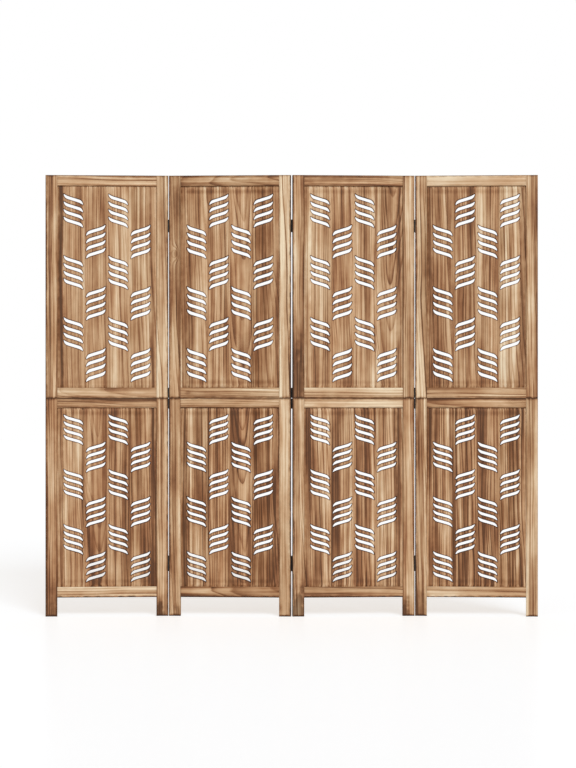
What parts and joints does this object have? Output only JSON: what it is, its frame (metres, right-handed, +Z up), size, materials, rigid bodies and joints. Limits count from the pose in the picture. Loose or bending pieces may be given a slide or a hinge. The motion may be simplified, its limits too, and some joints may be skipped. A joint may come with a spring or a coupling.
{
  "type": "folding screen",
  "caption": "Free-standing wooden folding screen: hinged leaves of stacked frames with panels pierced by groups of S-shaped slots.",
  "frame": {"origin": "on the floor, at the middle of the screen's bounding box, as it stands at rest", "axes": "+X along the screen to the right as seen from the front, +Y from the front to the back, +Z up"},
  "size_m": [2.0096, 0.0548, 1.8],
  "materials": {
    "frame_wood": "carbonised, matt, pale with brown streaks",
    "panel_wood": "carbonised, matt, darker boards with brown streaks",
    "dowel_wood": "plain turned",
    "hinge_metal": "black, satin",
    "screw_metal": "black, satin"
  },
  "bodies": {
    "leaf_1": {"leaf_1_upper_left_stile": "frame_wood", "leaf_1_upper_right_stile": "frame_wood", "leaf_1_upper_top_rail": "frame_wood", "leaf_1_upper_bottom_rail": "frame_wood", "leaf_1_upper_panel": "panel_wood", "leaf_1_lower_left_stile": "frame_wood", "leaf_1_lower_right_stile": "frame_wood", "leaf_1_lower_top_rail": "frame_wood", "leaf_1_lower_bottom_rail": "frame_wood", "leaf_1_lower_panel": "panel_wood", "leaf_1_dowels": "dowel_wood", "leaf_1_hinge_screws": "screw_metal", "hinge_12_left_plates": "hinge_metal", "hinge_12_pins": "hinge_metal"},
    "leaf_2": {"leaf_2_upper_left_stile": "frame_wood", "leaf_2_upper_right_stile": "frame_wood", "leaf_2_upper_top_rail": "frame_wood", "leaf_2_upper_bottom_rail": "frame_wood", "leaf_2_upper_panel": "panel_wood", "leaf_2_lower_left_stile": "frame_wood", "leaf_2_lower_right_stile": "frame_wood", "leaf_2_lower_top_rail": "frame_wood", "leaf_2_lower_bottom_rail": "frame_wood", "leaf_2_lower_panel": "panel_wood", "leaf_2_dowels": "dowel_wood", "leaf_2_hinge_screws": "screw_metal", "hinge_12_right_plates": "hinge_metal", "hinge_23_left_plates": "hinge_metal", "hinge_23_pins": "hinge_metal"},
    "leaf_3": {"leaf_3_upper_left_stile": "frame_wood", "leaf_3_upper_right_stile": "frame_wood", "leaf_3_upper_top_rail": "frame_wood", "leaf_3_upper_bottom_rail": "frame_wood", "leaf_3_upper_panel": "panel_wood", "leaf_3_lower_left_stile": "frame_wood", "leaf_3_lower_right_stile": "frame_wood", "leaf_3_lower_top_rail": "frame_wood", "leaf_3_lower_bottom_rail": "frame_wood", "leaf_3_lower_panel": "panel_wood", "leaf_3_dowels": "dowel_wood", "leaf_3_hinge_screws": "screw_metal", "hinge_23_right_plates": "hinge_metal", "hinge_34_left_plates": "hinge_metal", "hinge_34_pins": "hinge_metal"},
    "leaf_4": {"leaf_4_upper_left_stile": "frame_wood", "leaf_4_upper_right_stile": "frame_wood", "leaf_4_upper_top_rail": "frame_wood", "leaf_4_upper_bottom_rail": "frame_wood", "leaf_4_upper_panel": "panel_wood", "leaf_4_lower_left_stile": "frame_wood", "leaf_4_lower_right_stile": "frame_wood", "leaf_4_lower_top_rail": "frame_wood", "leaf_4_lower_bottom_rail": "frame_wood", "leaf_4_lower_panel": "panel_wood", "leaf_4_dowels": "dowel_wood", "leaf_4_hinge_screws": "screw_metal", "hinge_34_right_plates": "hinge_metal"}
  },
  "joints": [
    {"name": "fold_12", "type": "hinge", "parent": "leaf_2", "child": "leaf_1", "pos_m": [-0.50347, 0.00394, 0.89], "axis": [0, 0, 1], "range_deg": [-8, 172]},
    {"name": "fold_23", "type": "hinge", "parent": "leaf_2", "child": "leaf_3", "pos_m": [0, -0.004, 0.89], "axis": [0, 0, 1], "range_deg": [-8, 172]},
    {"name": "fold_34", "type": "hinge", "parent": "leaf_3", "child": "leaf_4", "pos_m": [0.50347, 0.00394, 0.89], "axis": [0, 0, -1], "range_deg": [-8, 172]}
  ]
}
